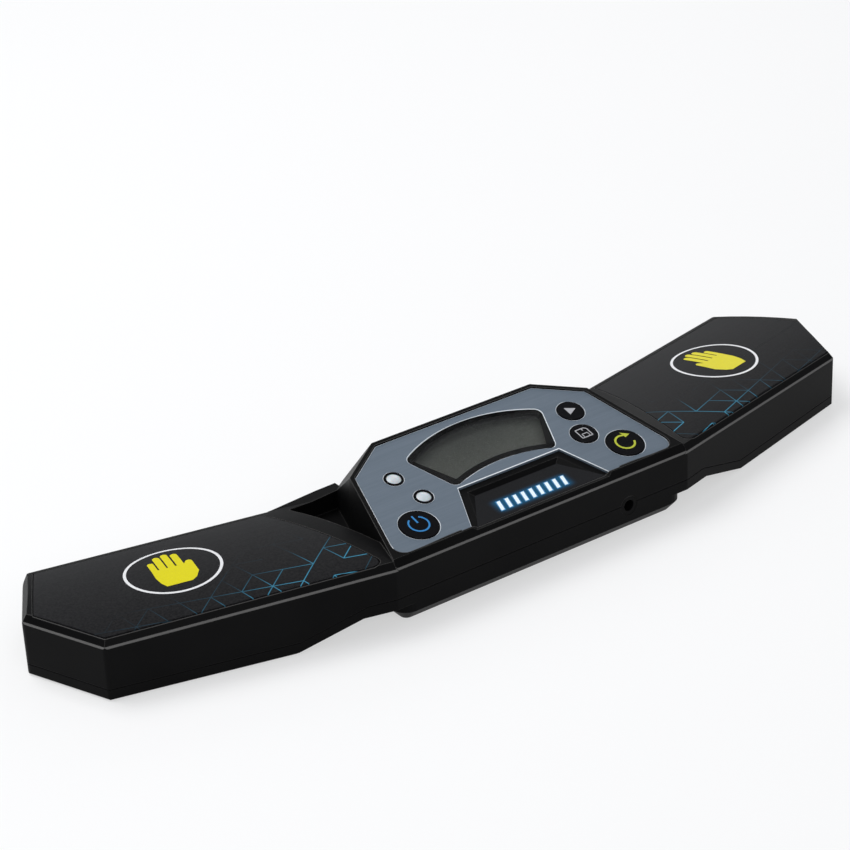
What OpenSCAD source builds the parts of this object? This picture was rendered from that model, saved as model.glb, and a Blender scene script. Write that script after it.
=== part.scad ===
// Two-handed speed timer: a low console with a display between two swept touch wings.
// The origin is the middle of the box the timer fills, on the surface it stands on.
// +X is the user's right, +Y points away from the user, +Z is up.

/* [Case outline] */
// Half length, from the middle to the end corner of a wing
half_length = 144; // [138:0.1:150]
// Depth of the whole timer from front to back
case_depth = 72.5; // [68:0.1:78]
// Half width of the straight front of the console
front_half_w = 53.2; // [51:0.1:56]
// Sweep of the wings towards the back, degrees
wing_sweep = 14.4; // [12:0.1:16]
// Width of a wing across its two long edges
wing_w = 51.8; // [49:0.05:54]
// Length of a wing's long front edge
wing_front_len = 82.9; // [78:0.1:86]
// Y of the end corner of a wing
end_corner_y = 10.7; // [4:0.1:14]
// Y of the straight rear wall behind the console
rear_wall_y = 18.8; // [17.5:0.1:20]
// Radius of the upright corners along the front of the case
corner_r = 1.6; // [0.5:0.1:2.5]
// Radius of the corner at the end of a wing
end_corner_r = 2.5; // [1:0.1:3.5]
// Radius of the rear corner of a wing
tip_corner_r = 5; // [2:0.1:6]
// Thickness of the case walls
wall = 2.0; // [1.6:0.1:2.4]

/* [Wing tops] */
// Height of the crest of a wing where it meets the console front
wing_top_z = 21.7; // [20.5:0.1:23]
// Fall of the crest towards the wing tip, degrees
wing_fall = 1.6; // [0:0.1:2.5]
// Radius of the gently crowned wing tops
crown_r = 156; // [130:1:220]
// Distance of the crest from the front edge of the wing
crest_in = 14.6; // [10:0.1:20]
// Height of the bevelled rim along the front of the case top
rim_h = 2.05; // [1.6:0.05:2.6]
// Width of the bevelled rim, seen from above
rim_in = 1.5; // [1.0:0.1:2.0]
// Height of the bevel at the end of a wing
end_rim_h = 2.4; // [1.8:0.1:2.8]
// Width of the bevel at the end of a wing
end_rim_in = 1.4; // [1.0:0.1:2.0]
// Width and height of the small bevel along the rear
rear_rim = 0.3; // [0.2:0.05:0.6]
// Size of the facet between the walls and the bevelled rim
shoulder_facet = 0.4; // [0.3:0.05:0.6]
// Distance of a touch pad from the end of its wing
pad_end_in = 3.4; // [2.4:0.1:4]
// Distance of a touch pad from the rear edge of its wing
pad_rear_in = 2.1; // [1.6:0.1:2.6]
// Thickness of the touch pads
pad_t = 1.2; // [0.8:0.1:1.6]
// Gap round a touch pad
pad_gap = 0.25; // [0.15:0.05:0.4]
// Front end of a pad's inner edge
pad_inner_front = [56.0, -26.6];
// Rear end of a pad's inner edge
pad_inner_rear = [62.4, 17.4];
// Height of the floor of the pockets beside the console
pocket_floor_z = 11.8; // [11.6:0.1:14.5]
// Thickness of the case skin under pads and console plate
deck_t = 1.5; // [1.2:0.1:1.8]

/* [Console] */
// Height of the console plate at Y = 0
plate_z = 30.3; // [29:0.1:31.5]
// Tilt of the console plate towards the user, degrees
plate_tilt = 14.85; // [13:0.05:16.5]
// Thickness of the brushed console plate
plate_t = 0.8; // [0.6:0.1:1.0]
// Width of the case border round the plate
border_w = 1.5; // [1.2:0.1:1.7]
// Height of that border above the plate
border_h = 0.4; // [0.2:0.05:0.5]
// Gap round the plate
plate_gap = 0.1; // [0.05:0.05:0.2]
// Y of the plate's front edge
plate_front_y = -33.9; // [-34.2:0.1:-33.5]
// Y of the plate's rear edge
plate_rear_y = 6.8; // [5.5:0.1:7.5]
// Half width of the plate at its front edge
plate_front_half_w = 51.0; // [49.5:0.1:51.5]
// Half width of the plate at its side corners
plate_side_half_w = 42.3; // [41:0.1:43]
// Y of the plate's side corners
plate_side_y = -2.0; // [-3.5:0.1:-1]
// Half width of the plate's rear edge
plate_rear_half_w = 28.8; // [27:0.1:30]
// Radius of the plate's front corners
plate_corner_r = 3.5; // [2.5:0.1:4.5]

/* [Badge slot] */
// Half width of the slot's mouth at the front
slot_front_half_w = 24.1; // [23:0.1:25]
// Half width of the slot's mouth at the back
slot_rear_half_w = 17.9; // [17:0.1:18.5]
// Y of the back of the slot's mouth
slot_rear_y = -19.8; // [-20.2:0.1:-19.2]
// Drop from the slot's mouth to the badge panel, at the back
slot_depth = 2.35; // [2:0.05:2.6]
// How far the slot's walls lean in on the way down to the panel
slot_lean = 2.9; // [2:0.1:3.2]
// Thickness of the badge panel
badge_t = 1.0; // [0.8:0.1:1.2]
// Drop from the slot's mouth to the badge panel, at the front
slot_front_depth = 0.7; // [0.6:0.05:1.0]

/* [Display] */
// Y of the top of the display window
window_top_y = 4.2; // [3.6:0.1:4.5]
// Y of the middle of the window's lower edge
window_low_y = -14.6; // [-15.2:0.1:-14]
// Radius of the window's curved edges
window_arc_r = 50.5; // [48:0.5:54]
// Half width of the window at its upper corners
window_top_half_w = 24.9; // [24.2:0.1:25.2]
// Half width of the window at its lower corners
window_low_half_w = 18.3; // [17.6:0.1:18.8]
// Radius of the window's corners
window_corner_r = 2.2; // [1.8:0.1:2.6]
// Thickness of the clear window
window_t = 1.0; // [0.8:0.1:1.2]
// Depth of the dark frame under the window
frame_h = 1.6; // [1.2:0.1:1.8]
// Wall of that frame
frame_w = 0.9; // [0.7:0.1:1.0]
// Thickness of the display glass
lcd_t = 2.0; // [1.6:0.1:2.2]
// Width of the display glass
lcd_w = 49; // [48:0.1:49.2]

/* [Buttons] */
// Radius of the power and reset buttons
big_button_r = 5.85; // [5.4:0.05:6.1]
// Radius of the mode and save buttons
small_button_r = 4.2; // [3.8:0.05:4.4]
// Centre of the reset button, mirrored for power
big_button_at = [37.7, -26.1];
// Centre of the mode button, mirrored for the ready lamp
mode_button_at = [32.5, -7.2];
// Centre of the save button, mirrored for the second lamp
save_button_at = [29.4, -17.2];
// Gap between a button and its hole
button_gap = 0.12; // [0.08:0.01:0.2]
// Height of the buttons above the plate
button_proud = 0.35; // [0.3:0.05:0.6]
// Travel of the buttons
button_travel = 0.5; // [0.3:0.05:0.6]
// Height of a key switch on the board
switch_h = 2.0; // [1.6:0.1:2.2]
// Outer radius of a lamp's black ring
lamp_ring_r = 2.87; // [2.6:0.05:3.0]
// Radius of a lamp's white lens
lamp_r = 2.2; // [2.0:0.05:2.3]

/* [Boards] */
// Depth of the main board below the plate
board_depth = 6.6; // [6.4:0.1:7.2]
// Thickness of the main board
board_t = 1.6; // [1.2:0.2:1.6]
// Half width of the main board
board_half_w = 42; // [41.5:0.1:42.5]

/* [Jack] */
// X of the data jack
jack_x = 30.4; // [29:0.1:33]
// Height of the data jack's axis
jack_z = 9.2; // [9:0.1:9.4]
// Radius of the jack's bore
jack_bore_r = 1.8; // [1.7:0.05:1.9]
// Length of the jack's bore
jack_len = 12; // [10:0.5:14]
// Radius of the jack's collar in the front wall
jack_collar_r = 3.0; // [2.8:0.1:3.1]

/* [Base] */
// Height the rubber feet lift the case
foot_lift = 0.4; // [0.4:0.1:0.8]
// Radius of the rubber feet
foot_r = 5; // [4:0.25:6]
// Height of the seam under the console
seam_high_z = 9.9; // [9.6:0.1:10.2]
// Height of the seam under the wings
seam_low_z = 3.8; // [3.5:0.1:4.2]
// Half width of the high part of the seam
seam_high_half_w = 61.5; // [60:0.5:63]
// X where the seam is down again
seam_low_x = 81; // [79:0.5:83]
// Gap between the two shells at the seam
seam_gap = 0.15; // [0.1:0.05:0.2]
// Height of the raised underside beside the console block
arch_z = 6.4; // [6:0.1:6.6]
// Half width of the console block that stands on the table
block_half_w = 52; // [51:0.1:52.5]
// Radius of the console block's upright corners
block_r = 5; // [4:0.5:7]
// Chamfer of the bottom edges of the wings
base_chamfer = 0.3; // [0.2:0.1:0.6]
// Width of the chamfer round the bottom of the console block
block_chamfer = 3.0; // [2.6:0.1:3.2]
// Height of that chamfer
block_chamfer_h = 3.4; // [3:0.1:3.6]
// Width and depth of the shadow line between the two case shells
seam_line = 0.25; // [0.15:0.05:0.3]
// Thickness of the floor of the lower shell
floor_t = 1.8; // [1.6:0.1:2.0]

/* [Battery] */
// Radius of one cell
cell_r = 5.25; // [5.1:0.05:5.25]
// Length of one cell
cell_len = 44.5; // [44:0.1:44.5]
// Y of the middle of the battery bay
bay_y = -3; // [-3.5:0.1:-2.5]
// Thickness of the battery cover
cover_t = 1.6; // [1.4:0.1:1.8]
// Half width of the battery cover at its tongues
cover_half_w = 28; // [27.5:0.1:29]
// Width of a tongue of the battery cover
tongue_w = 1.0; // [0.8:0.1:1.2]
// Running gap round the battery cover
cover_gap = 0.1; // [0.05:0.01:0.15]

/* [Screws] */
// Radius of a case screw's thread
screw_r = 1.3; // [1.2:0.05:1.4]
// Radius of a case screw's head
screw_head_r = 2.4; // [2.2:0.1:2.5]
// Gap between a thread and its pilot hole
screw_gap = 0.05; // [0.02:0.01:0.1]
// Outer radius of a screw boss
boss_r = 3.2; // [3.0:0.1:3.4]

/* [Hidden] */

BIG = 400;
ROUND = 96;
CROWN_FN = 360;

// ---- plan outline -------------------------------------------------------------------------
front_y = -case_depth / 2;
along = [cos(wing_sweep), sin(wing_sweep)];
across = [-sin(wing_sweep), cos(wing_sweep)];
bend = [front_half_w, front_y];
front_tip = bend + wing_front_len * along;
end_tip = [half_length, end_corner_y];
// The wing's rear edge runs parallel to its front edge, wing_w behind it.
function on_rear_edge_x(y) = (across * bend + wing_w - across[1] * y) / across[0];
function unit(v) = v / norm(v);
rear_bend = [on_rear_edge_x(rear_wall_y), rear_wall_y];
// What the rounding of the rear tip takes off its Y, made good so that the depth stays case_depth.
square_tip = [on_rear_edge_x(case_depth / 2), case_depth / 2];
tip_dirs = [unit(end_tip - square_tip), -along];
tip_half_angle = acos(tip_dirs[0] * tip_dirs[1]) / 2;
tip_trim = tip_corner_r * (abs(unit(tip_dirs[0] + tip_dirs[1])[1]) / sin(tip_half_angle) - 1);
rear_tip = [on_rear_edge_x(case_depth / 2 + tip_trim), case_depth / 2 + tip_trim];
half_outline = [bend, front_tip, end_tip, rear_tip, rear_bend];
function mirrored(points) = [for (i = [len(points) - 1:-1:0]) [-points[i][0], points[i][1]]];
outline = concat(half_outline, mirrored(half_outline));
half_corner_r = [corner_r, corner_r, end_corner_r, tip_corner_r, corner_r];
outline_r = concat(half_corner_r, [for (i = [4:-1:0]) half_corner_r[i]]);

function turn_left(v) = [-v[1], v[0]];
function line_meet(p, u, q, v) = p + u * ((q - p) * turn_left(v)) / (u * turn_left(v));
// An outline drawn anticlockwise, moved inwards by d, which is one distance or one for each edge.
function inset(points, d) = let (n = len(points), in = is_list(d) ? d : [for (p = points) d]) [
    for (i = [0:n - 1]) let (
        a = points[(i + n - 1) % n], b = points[i], c = points[(i + 1) % n],
        u = unit(b - a), v = unit(c - b)
    ) line_meet(b + in[(i + n - 1) % n] * turn_left(u), u, b + in[i] * turn_left(v), v)];
// An outline with its corners rounded; r is one radius or one for each corner.
function rounded(points, r, steps = 6) = let (n = len(points)) [
    for (i = [0:n - 1]) let (
        b = points[i],
        u = unit(points[(i + n - 1) % n] - b), v = unit(points[(i + 1) % n] - b),
        radius = is_list(r) ? r[i] : r,
        half = acos(u * v) / 2,
        centre = b + unit(u + v) * radius / sin(half),
        start = atan2((b + u * radius / tan(half) - centre)[1], (b + u * radius / tan(half) - centre)[0]),
        stop = atan2((b + v * radius / tan(half) - centre)[1], (b + v * radius / tan(half) - centre)[0]),
        sweep = (stop - start + 540) % 360 - 180
    ) each radius < 0.01 ? [b]
        : [for (k = [0:steps])
            centre + radius * [cos(start + sweep * k / steps), sin(start + sweep * k / steps)]]];

// ---- planes -------------------------------------------------------------------------------
// Everything on the outer side of the plane through three points taken anticlockwise.
module beyond(a, b, c) {
    n = cross(b - a, c - a);
    translate(a) rotate([0, acos(n[2] / norm(n)), atan2(n[1], n[0])])
        translate([-BIG / 2, -BIG / 2, 0]) cube(BIG);
}

// ---- wing tops ----------------------------------------------------------------------------
fall = tan(wing_fall);
// Height of the crowned top over a point of the right wing.
function crown_z(p) = let (u = (p - bend) * along, v = (p - bend) * across - crest_in)
    wing_top_z - fall * u - (crown_r - sqrt(crown_r * crown_r - v * v)) / cos(wing_fall);
function lift(p, z) = [p[0], p[1], z];
// The space under the crowned top, lowered by drop.
module under_crown(drop = 0) {
    translate([bend[0], bend[1], wing_top_z]) rotate([0, 0, wing_sweep]) translate([0, crest_in, 0])
        rotate([0, wing_fall, 0]) translate([-BIG / 4, 0, -crown_r])
            rotate([0, 90, 0]) cylinder(r = crown_r - drop, h = BIG, $fn = CROWN_FN);
}
// The bevel along one edge of the case top, from the shoulder up to the rim: width, height.
rims = [[rim_in, rim_h], [rim_in, rim_h], [end_rim_in, end_rim_h], [rear_rim, rear_rim]];
module rim_bevel(p, q, rim, drop) {
    inward = turn_left(unit(q - p)) * rim[0];
    a = lift(p, crown_z(p) - rim[1] - drop);
    b = lift(q, crown_z(q) - rim[1] - drop);
    shoulder_bevel(a, b, [inward[0], inward[1], rim[1]]);
}
// A bevel that leaves the walls between a and b and rises by rise, with a narrow facet at its foot.
module shoulder_bevel(a, b, rise) {
    beyond(a, b, a + rise);
    foot = [0, 0, min(shoulder_facet, rise[2])];
    beyond(a - foot, b - foot, a + rise * foot[2] / norm(rise));
}
// The bevel along the straight front between the wings, at the wings' height.
module front_bevel() {
    shoulder = lift(bend, crown_z(bend) - rim_h);
    shoulder_bevel([-shoulder[0], shoulder[1], shoulder[2]], shoulder, [0, rim_in, rim_h]);
}
// The wing's side of the inner corner where its rear edge meets the rear wall.
module wing_side() {
    translate([rear_bend[0], rear_bend[1], -BIG / 2]) rotate([0, 0, wing_sweep / 2])
        translate([0, -BIG / 2, 0]) cube(BIG);
}
// One wing of the case, solid, its walls moved in and its top lowered.
module wing_solid(move_in = 0, drop = 0, rim = true) {
    points = inset(outline, move_in);
    difference() {
        intersection() {
            linear_extrude(wing_top_z + 10) polygon(rounded(points, outline_r));
            under_crown(drop);
            translate([plate_rear_half_w, -BIG / 2, 0]) cube(BIG);
        }
        if (rim) {
            for (i = [0:2]) rim_bevel(half_outline[i], half_outline[i + 1], rims[i], drop);
            intersection() {
                rim_bevel(half_outline[3], half_outline[4], rims[3], drop);
                wing_side();
            }
            front_bevel();
        }
    }
}
module both_sides() {
    children();
    mirror([1, 0, 0]) children();
}

// ---- console ------------------------------------------------------------------------------
tilt_slope = tan(plate_tilt);
function plate_z_at(y) = plate_z + tilt_slope * y;
// Children drawn flat at Z = 0 are laid on the plate's plane, their X and Y kept as seen from above.
module on_plate(p, below = 0) {
    translate([p[0], p[1], plate_z_at(p[1])]) rotate([plate_tilt, 0, 0])
        translate([0, 0, -below]) children();
}
module under_plate(drop = 0) {
    translate([-BIG / 2, 0, plate_z]) rotate([plate_tilt, 0, 0])
        translate([0, -BIG / 2, -BIG - drop]) cube(BIG);
}
// The plate's outline moved inwards, its four front corners rounded by r.
function plate_outline(in, r) = rounded(inset(plate_hull, in), [plate_corner_r, r, r, r, r, plate_corner_r]);
// A flat outline, seen from above, as a slab between two depths under the plate's plane.
module plate_slab(points, top, bottom) {
    difference() {
        intersection() {
            linear_extrude(BIG / 4) polygon(points);
            under_plate(top);
        }
        under_plate(bottom);
    }
}
plate_half = [[plate_front_half_w, plate_front_y], [plate_side_half_w, plate_side_y],
    [plate_rear_half_w, plate_rear_y]];
plate_hull = concat(plate_half, mirrored(plate_half));
// The console's top outline: the plate with the case border round it.
console_top = inset(plate_hull, -border_w);
side_corner = console_top[1];
rear_corner = console_top[2];
pocket_rear_y = rear_wall_y - 4.3;
// Foot of the console's rear corners, where they run down into the rear rim.
heel = [38, pocket_rear_y];
console_foot = let (half = [bend, side_corner, heel, [heel[0] - 1, rear_wall_y]])
    concat(half, mirrored(half));
// Height of the rail along the rear wall: it rises from the wings towards the console.
rail_drop = 1.6;
rail_fall = 0.06;
function rail_z(x) = wing_top_z - rail_drop - rail_fall * x;
rear_rim_z = rail_z(heel[0]);
module console_solid(move_in = 0, drop = 0) {
    top_a = lift(side_corner, plate_z_at(side_corner[1]));
    top_b = lift(rear_corner, plate_z_at(rear_corner[1]));
    foot = lift(heel, rear_rim_z);
    back = lift([0, rear_wall_y], rear_rim_z);
    side_in = unit([-1, -1]);
    difference() {
        intersection() {
            linear_extrude(BIG / 4) polygon(rounded(inset(console_foot, move_in), 0.8, 3));
            under_plate(drop);
        }
        both_sides() translate([side_in[0] * move_in, side_in[1] * move_in, -move_in / 2])
            beyond(top_a, foot, top_b);
        translate([0, -move_in, -move_in / 2]) beyond(top_b, back, [-top_b[0], top_b[1], top_b[2]]);
        translate([0, move_in, -drop / 2]) front_bevel();
    }
}

// ---- pads and the pockets beside the console ----------------------------------------------
pad_corner_r = 2.5;
pad_in = rim_in + pad_gap;
pad_edges_in = [pad_in, pad_in, pad_end_in, pad_rear_in, pad_in, pad_in, pad_in, pad_in, pad_in, pad_in];
pad_front = inset(outline, pad_edges_in);
pad_line = [pad_inner_front, pad_inner_rear];
pad_line_dir = unit(pad_line[1] - pad_line[0]);
function on_pad_line(p, dir) = line_meet(p, dir, pad_line[0], pad_line_dir);
pad_outline = [on_pad_line(pad_front[1], along), pad_front[1], pad_front[2], pad_front[3],
    on_pad_line(pad_front[3], along)];
pocket_to_pad = 7.2;
pocket_rear_out = [pad_inner_rear[0] - pocket_to_pad, pocket_rear_y];
// The pocket reaches in under the console, whose own flank closes it on that side.
pocket_under = 1.6;
flank_dir = unit(console_top[0] - side_corner);
pocket_side_in = side_corner + pocket_under * turn_left(-flank_dir);
pocket_front = line_meet(pocket_side_in, flank_dir,
    pocket_rear_out, unit([pad_inner_front[0] - 5.8, pad_inner_front[1] + 4] - pocket_rear_out));
pocket_corner_r = [0.8, 1.2, 0, 0];
pocket_outline = [pocket_front, pocket_rear_out, heel - [pocket_under, 0], pocket_side_in];
// A slab that follows the crowned wing top between two depths.
module crown_slab(points, top, bottom) {
    difference() {
        intersection() {
            linear_extrude(wing_top_z + 10) polygon(points);
            under_crown(top);
        }
        under_crown(bottom);
    }
}

// ---- badge slot ---------------------------------------------------------------------------
slot_mouth = [[slot_rear_half_w, slot_rear_y], [slot_front_half_w, plate_front_y]];
slot_lean_y = 0.7 * slot_lean;
slot_rear_z = plate_z_at(slot_rear_y) - slot_depth;
slot_front_z = plate_z_at(plate_front_y) - slot_front_depth;
badge_front_y = plate_front_y - 0.2;
// The slot's space: the floor rises less steeply than the plate, and three walls lean in.
module slot_space(grow = 0, sink = 0) {
    rear = lift(slot_mouth[0], plate_z_at(slot_rear_y));
    front = lift(slot_mouth[1], plate_z_at(plate_front_y));
    lean = [-slot_lean, -slot_lean_y, -slot_depth];
    floor_slope = atan((slot_rear_z - slot_front_z) / (slot_rear_y - plate_front_y));
    difference() {
        translate([-slot_front_half_w - 6, front_y - 3, 0])
            cube([2 * slot_front_half_w + 12, slot_rear_y - front_y + 3 + grow, BIG / 8]);
        both_sides() translate([grow, 0, 0]) beyond(rear, front, rear + lean);
        translate([0, grow, 0]) beyond([-rear[0], rear[1], rear[2]], rear, rear + [0, lean[1], lean[2]]);
        translate([-BIG / 2, plate_front_y - slot_lean_y, slot_front_z - sink]) rotate([floor_slope, 0, 0])
            translate([0, -BIG / 2, -BIG]) cube(BIG);
    }
}

// ---- display window -------------------------------------------------------------------------
// The point at x on the upper side of a circle round [0, centre_y].
function on_arc(centre_y, r, x) = [x, centre_y + sqrt(r * r - x * x)];
// A band between two arcs, with slanting ends and rounded corners.
module window_shape(shrink = 0) {
    arc_steps = 14;
    half_top = window_top_half_w - shrink;
    half_low = window_low_half_w - shrink;
    r_top = window_arc_r - shrink;
    r_low = window_arc_r + shrink;
    clear_of_corner = 1.5 * window_corner_r;
    top = [for (k = [0:arc_steps])
        on_arc(window_top_y - window_arc_r, r_top, (half_top - clear_of_corner) * (1 - 2 * k / arc_steps))];
    low = [for (k = [0:arc_steps])
        on_arc(window_low_y - window_arc_r, r_low, (half_low - clear_of_corner) * (2 * k / arc_steps - 1))];
    corner = window_corner_r - shrink;
    flat = [for (k = [0:arc_steps]) 0];
    polygon(rounded(concat([on_arc(window_low_y - window_arc_r, r_low, half_low),
        on_arc(window_top_y - window_arc_r, r_top, half_top)], top,
        [on_arc(window_top_y - window_arc_r, r_top, -half_top),
        on_arc(window_low_y - window_arc_r, r_low, -half_low)], low),
        concat([corner, corner], flat, [corner, corner], flat)));
}
// The window's outline, seen from above, as a slab under the plate's plane.
module window_slab(shrink, top, bottom) {
    difference() {
        intersection() {
            linear_extrude(BIG / 8) window_shape(shrink);
            under_plate(top);
        }
        under_plate(bottom);
    }
}

// ---- places shared by several pieces --------------------------------------------------------
deck_low = plate_t + deck_t;
collar_lip = 0.5;
collar_t = 0.8;
lens_gap = 0.05;
key_places = [big_button_at, mode_button_at, save_button_at, [-big_button_at[0], big_button_at[1]]];
key_radii = [big_button_r, small_button_r, small_button_r, big_button_r];
lamp_places = [[-mode_button_at[0], mode_button_at[1]], [-save_button_at[0], save_button_at[1]]];
board_screw_places = [[31.5, 0.6], [27.5, -28.5]];
lcd_front_y = window_low_y - 3;
lcd_rear_y = window_top_y + 1.2;
lcd_top = window_t + frame_h + 0.1;
lcd_low = lcd_top + lcd_t;
// Case screws: X, Y and the height of the seam over each.
screw_places = [[88, -19, seam_low_z], [86, 18, seam_low_z], [134.5, 6, seam_low_z],
    [46.3, -30.5, seam_high_z], [33, 13, seam_high_z]];
foot_places = [[126, -8], [118, 24], [41, -21], [41, 7]];
underside_z = foot_lift;
foot_pocket = 0.8;
head_sink = 0.1;
function head_top(seam) = seam > 6 ? underside_z + 4.9 : underside_z + 1.25;
screw_len = 9;

// The space below the seam, seen from the front as a stepped line, lowered by drop.
module below_seam(drop = 0) {
    half = [[BIG / 2, seam_low_z - drop], [seam_low_x, seam_low_z - drop],
        [seam_high_half_w, seam_high_z - drop]];
    rotate([90, 0, 0]) linear_extrude(BIG, center = true)
        polygon(concat([[BIG / 2, -50]], half, mirrored(half), [[-BIG / 2, -50]]));
}
// The space below the raised underside of the wings, raised by lift_by.
module below_arch(lift_by = 0) {
    ramp = 1.5;
    half = [[BIG / 2, underside_z + lift_by], [seam_low_x + ramp, underside_z + lift_by],
        [seam_high_half_w + ramp, arch_z + lift_by]];
    rotate([90, 0, 0]) linear_extrude(BIG, center = true)
        polygon(concat([[BIG / 2, -50]], half, mirrored(half), [[-BIG / 2, -50]]));
}
block_half = [[block_half_w, front_y], [block_half_w, rear_wall_y]];
block_outline = concat(block_half, mirrored(block_half));
module jack_hole(r) {
    translate([jack_x, front_y - 1, jack_z]) rotate([-90, 0, 0]) cylinder(r = r, h = wall + 2, $fn = ROUND);
}

// ---- top case -------------------------------------------------------------------------------
module rear_rail() {
    out = [rear_bend[0] - 1, rear_wall_y];
    in = [heel[0] - 2, rear_wall_y];
    difference() {
        linear_extrude(wing_top_z + 10)
            polygon([[in[0], pocket_rear_y], [out[0] - 1.5, pocket_rear_y], out, in]);
        beyond(lift(in, rail_z(in[0])), lift(out, rail_z(out[0])), [in[0], rear_wall_y + 5, rail_z(in[0])]);
        beyond([0, rear_wall_y, rear_rim_z - rear_rim], [-1, rear_wall_y, rear_rim_z - rear_rim],
            [0, rear_wall_y - 1, rear_rim_z - rear_rim + 1]);
    }
}
module top_solid() {
    both_sides() {
        difference() {
            wing_solid();
            translate([0, 0, pocket_floor_z]) linear_extrude(BIG)
                polygon(rounded(pocket_outline, pocket_corner_r));
        }
        rear_rail();
    }
    console_solid(0, -border_h);
}
module top_cavity() {
    difference() {
        both_sides() wing_solid(wall, pad_t + deck_t, false);
        both_sides() translate([0, 0, pocket_floor_z - deck_t])
            linear_extrude(BIG) polygon(inset(pocket_outline, -wall));
    }
    difference() {
        console_solid(wall, deck_low);
        slot_space(wall, badge_t + deck_t);
    }
}
module top_case() {
    color([0.07, 0.07, 0.075]) difference() {
        intersection() {
            union() {
                difference() {
                    top_solid();
                    top_cavity();
                }
                both_sides() for (s = screw_places)
                    translate([s[0], s[1], s[2]]) cylinder(r = boss_r, h = BIG / 4, $fn = ROUND);
                both_sides() for (p = board_screw_places) on_plate(p, board_depth - 0.05)
                    cylinder(r = 1.8, h = board_depth - plate_t, $fn = ROUND);
            }
            top_solid();
        }
        below_seam();
        both_sides() crown_slab(rounded(inset(pad_outline, -pad_gap), [pad_corner_r, 0.6, 0.6, 0.6, 0.6]),
            -5, pad_t);
        plate_slab(plate_outline(-plate_gap, 0.6), -5, plate_t);
        window_slab(0, -5, deck_low + 1);
        slot_space();
        intersection() {
            slot_space(0, badge_t);
            translate([-BIG / 2, badge_front_y - 0.1, 0]) cube(BIG);
        }
        for (i = [0:3]) on_plate(key_places[i], deck_low + 1)
            cylinder(r = key_radii[i] + button_gap, h = 8, $fn = ROUND);
        for (p = lamp_places) on_plate(p, deck_low + 1) cylinder(r = lamp_r + lens_gap, h = 8, $fn = ROUND);
        both_sides() for (s = screw_places) translate([s[0], s[1], s[2] - 1])
            cylinder(r = screw_r + screw_gap, h = head_top(s[2]) + screw_len + 1.5 - s[2], $fn = ROUND);
        both_sides() for (p = board_screw_places) on_plate(p, board_depth + 0.1)
            cylinder(r = board_screw_r + screw_gap, h = 4, $fn = ROUND);
        jack_hole(jack_collar_r + lens_gap);
        // The jack's body reaches up behind the front wall.
        translate([jack_x - jack_collar_r - 0.4, front_y + wall, jack_z - 5])
            cube([2 * jack_collar_r + 0.8, jack_len, 8.2]);
    }
}

// ---- bottom case ----------------------------------------------------------------------------
module base_bevel(p, q) {
    inward = turn_left(unit(q - p));
    a = lift(p, underside_z + base_chamfer);
    beyond(lift(q, underside_z + base_chamfer), a, a + [inward[0], inward[1], -1]);
}
module bottom_solid() {
    difference() {
        linear_extrude(seam_high_z) polygon(rounded(outline, outline_r));
        below_arch();
        both_sides() {
            for (i = [0:2]) base_bevel(half_outline[i], half_outline[i + 1]);
            intersection() {
                base_bevel(half_outline[3], half_outline[4]);
                wing_side();
            }
        }
    }
    block_slope(block_outline, block_r, 0, block_chamfer,
        underside_z, underside_z + block_chamfer_h, seam_high_z);
}
// An upright block whose walls lean in below high_z: its outline is moved in by low_in at low_z
// and by high_in above.
module block_slope(points, r, high_in, low_in, low_z, high_z, top_z) {
    high = rounded(inset(points, high_in), r - high_in);
    low = rounded(inset(points, low_in), max(r - low_in, 0.6));
    translate([0, 0, high_z]) linear_extrude(top_z - high_z) polygon(high);
    hull() {
        translate([0, 0, high_z]) linear_extrude(0.1) polygon(high);
        translate([0, 0, low_z]) linear_extrude(0.1) polygon(low);
    }
}
module bottom_cavity() {
    difference() {
        linear_extrude(BIG) polygon(rounded(inset(outline, wall), 0.6, 3));
        below_arch(floor_t);
    }
    // Inside, the leaning walls keep their thickness.
    lean = block_chamfer / block_chamfer_h;
    in_at_floor = block_chamfer - lean * floor_t + wall * norm([lean, 1]);
    block_slope(block_outline, block_r, wall, in_at_floor, underside_z + floor_t,
        underside_z + floor_t + (in_at_floor - wall) / lean, BIG / 4);
}
bay_half_len = cell_len / 2 + 2.9;
bay_half_w = 2 * cell_r + 0.75;
cover_top = underside_z + cover_t + cover_gap;
land_w = 2;
land_t = 1.2;
bay_top = cover_top + 2 * cell_r + 0.5;
bay_wall = 1.2;
cover_front_y = bay_y - bay_half_w - 3.5;
cell_z = cover_top + 0.2 + cell_r;
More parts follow.
